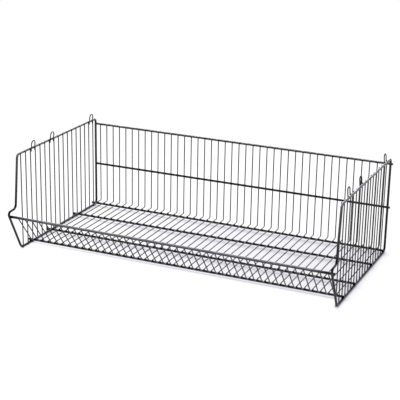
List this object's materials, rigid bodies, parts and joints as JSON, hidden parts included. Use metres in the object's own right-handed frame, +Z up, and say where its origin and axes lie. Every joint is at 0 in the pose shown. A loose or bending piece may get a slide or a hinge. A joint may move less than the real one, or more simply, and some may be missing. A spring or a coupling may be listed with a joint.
{
  "type": "stackable wire dump bin",
  "caption": "Open wire basket for a shop floor, with a low sloped front lip, grid back and sides, and loops on the side frames that hold a second basket on top.",
  "frame": {"origin": "on the floor, under the middle of the basket", "axes": "+X along the width to the right, +Y to the back, +Z up"},
  "size_m": [0.91, 0.4902, 0.2905],
  "materials": {
    "coated_wire": "gloss charcoal coating on drawn steel wire"
  },
  "bodies": {
    "root": {"side_frame_left": "coated_wire", "side_frame_right": "coated_wire", "stacking_loop_left_1": "coated_wire", "stacking_loop_left_2": "coated_wire", "stacking_loop_left_3": "coated_wire", "stacking_loop_right_1": "coated_wire", "stacking_loop_right_2": "coated_wire", "stacking_loop_right_3": "coated_wire", "floor_rail_1": "coated_wire", "floor_rail_2": "coated_wire", "floor_rail_3": "coated_wire", "floor_rail_4": "coated_wire", "back_rail_middle": "coated_wire", "back_rail_top": "coated_wire", "lip_rail": "coated_wire", "basket_bar_01": "coated_wire", "basket_bar_02": "coated_wire", "basket_bar_03": "coated_wire", "basket_bar_04": "coated_wire", "basket_bar_05": "coated_wire", "basket_bar_06": "coated_wire", "basket_bar_07": "coated_wire", "basket_bar_08": "coated_wire", "basket_bar_09": "coated_wire", "basket_bar_10": "coated_wire", "basket_bar_11": "coated_wire", "basket_bar_12": "coated_wire", "basket_bar_13": "coated_wire", "basket_bar_14": "coated_wire", "basket_bar_15": "coated_wire", "basket_bar_16": "coated_wire", "basket_bar_17": "coated_wire", "basket_bar_18": "coated_wire", "basket_bar_19": "coated_wire", "basket_bar_20": "coated_wire", "basket_bar_21": "coated_wire", "basket_bar_22": "coated_wire", "basket_bar_23": "coated_wire", "basket_bar_24": "coated_wire", "basket_bar_25": "coated_wire", "basket_bar_26": "coated_wire", "basket_bar_27": "coated_wire", "basket_bar_28": "coated_wire", "basket_bar_29": "coated_wire", "basket_bar_30": "coated_wire", "basket_bar_31": "coated_wire", "basket_bar_32": "coated_wire", "basket_bar_33": "coated_wire", "basket_bar_34": "coated_wire", "basket_bar_35": "coated_wire", "basket_bar_36": "coated_wire", "basket_bar_37": "coated_wire", "basket_bar_38": "coated_wire", "basket_bar_39": "coated_wire", "basket_bar_40": "coated_wire", "basket_bar_41": "coated_wire", "basket_bar_42": "coated_wire"}
  },
  "joints": []
}
